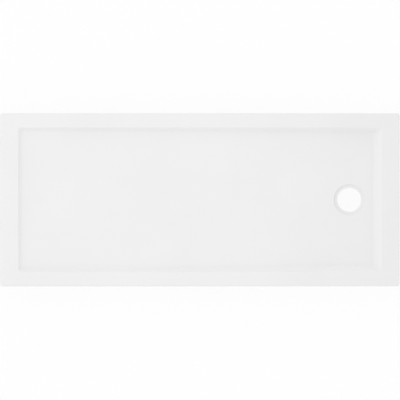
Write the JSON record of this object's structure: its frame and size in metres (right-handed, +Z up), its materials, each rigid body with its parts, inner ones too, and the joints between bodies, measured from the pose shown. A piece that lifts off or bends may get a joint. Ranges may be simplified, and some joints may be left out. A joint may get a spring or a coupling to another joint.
{
  "type": "shower tray",
  "caption": "Long rectangular low-profile shower tray with a flat rim, a shallow sloping recess, a stepped round waste hole near one end and screw-adjustable legs underneath.",
  "frame": {"origin": "on the ground under the middle of the tray, with every leg at mid travel", "axes": "+X along the tray's length towards the waste end, +Y across its width, +Z up"},
  "size_m": [1.5, 0.65, 0.13],
  "materials": {
    "white_acrylic": "gloss white acrylic sheet",
    "glass_fibre": "rough glass-fibre and resin laminate",
    "resin_core": "filled resin, cast",
    "chipboard": "raw chipboard",
    "softwood": "sawn softwood",
    "black_nylon": "moulded nylon, fine texture",
    "zinc_steel": "zinc-plated steel"
  },
  "bodies": {
    "tray": {"acrylic_shell": "white_acrylic", "glass_fibre_coat": "glass_fibre", "resin_core": "resin_core", "base_board": "chipboard", "rim_rail_front": "softwood", "rim_rail_back": "softwood", "rim_rail_far_end": "softwood", "rim_rail_waste_end": "softwood", "captive_nuts": "zinc_steel", "lock_nuts": "zinc_steel", "leg_socket_1": "black_nylon", "leg_socket_2": "black_nylon", "leg_socket_3": "black_nylon", "leg_socket_4": "black_nylon", "leg_socket_5": "black_nylon", "leg_socket_6": "black_nylon"},
    "foot_1": {"leg_foot_1": "black_nylon"},
    "spindle_1": {"leg_spindle_1": "zinc_steel"},
    "foot_2": {"leg_foot_2": "black_nylon"},
    "spindle_2": {"leg_spindle_2": "zinc_steel"},
    "foot_3": {"leg_foot_3": "black_nylon"},
    "spindle_3": {"leg_spindle_3": "zinc_steel"},
    "foot_4": {"leg_foot_4": "black_nylon"},
    "spindle_4": {"leg_spindle_4": "zinc_steel"},
    "foot_5": {"leg_foot_5": "black_nylon"},
    "spindle_5": {"leg_spindle_5": "zinc_steel"},
    "foot_6": {"leg_foot_6": "black_nylon"},
    "spindle_6": {"leg_spindle_6": "zinc_steel"}
  },
  "joints": [
    {"name": "leg_1_height", "type": "slide", "parent": "tray", "child": "foot_1", "axis": [0, 0, -1], "range_m": [-0.015, 0.015]},
    {"name": "leg_1_turn", "type": "hinge", "parent": "foot_1", "child": "spindle_1", "pos_m": [-0.596, -0.213, 0.02], "axis": [0, 0, 1], "range_deg": [-3086, 3086]},
    {"name": "leg_2_height", "type": "slide", "parent": "tray", "child": "foot_2", "axis": [0, 0, -1], "range_m": [-0.015, 0.015]},
    {"name": "leg_2_turn", "type": "hinge", "parent": "foot_2", "child": "spindle_2", "pos_m": [-0.596, 0.213, 0.02], "axis": [0, 0, 1], "range_deg": [-3086, 3086]},
    {"name": "leg_3_height", "type": "slide", "parent": "tray", "child": "foot_3", "axis": [0, 0, -1], "range_m": [-0.015, 0.015]},
    {"name": "leg_3_turn", "type": "hinge", "parent": "foot_3", "child": "spindle_3", "pos_m": [0, -0.213, 0.02], "axis": [0, 0, 1], "range_deg": [-3086, 3086]},
    {"name": "leg_4_height", "type": "slide", "parent": "tray", "child": "foot_4", "axis": [0, 0, -1], "range_m": [-0.015, 0.015]},
    {"name": "leg_4_turn", "type": "hinge", "parent": "foot_4", "child": "spindle_4", "pos_m": [0, 0.213, 0.02], "axis": [0, 0, 1], "range_deg": [-3086, 3086]},
    {"name": "leg_5_height", "type": "slide", "parent": "tray", "child": "foot_5", "axis": [0, 0, -1], "range_m": [-0.015, 0.015]},
    {"name": "leg_5_turn", "type": "hinge", "parent": "foot_5", "child": "spindle_5", "pos_m": [0.596, -0.213, 0.02], "axis": [0, 0, 1], "range_deg": [-3086, 3086]},
    {"name": "leg_6_height", "type": "slide", "parent": "tray", "child": "foot_6", "axis": [0, 0, -1], "range_m": [-0.015, 0.015]},
    {"name": "leg_6_turn", "type": "hinge", "parent": "foot_6", "child": "spindle_6", "pos_m": [0.596, 0.213, 0.02], "axis": [0, 0, 1], "range_deg": [-3086, 3086]}
  ],
  "couplings": [
    {"joint": "leg_1_turn", "follows": "leg_1_height", "rad_per_m": -3590.4},
    {"joint": "leg_2_turn", "follows": "leg_2_height", "rad_per_m": -3590.4},
    {"joint": "leg_3_turn", "follows": "leg_3_height", "rad_per_m": -3590.4},
    {"joint": "leg_4_turn", "follows": "leg_4_height", "rad_per_m": -3590.4},
    {"joint": "leg_5_turn", "follows": "leg_5_height", "rad_per_m": -3590.4},
    {"joint": "leg_6_turn", "follows": "leg_6_height", "rad_per_m": -3590.4}
  ]
}
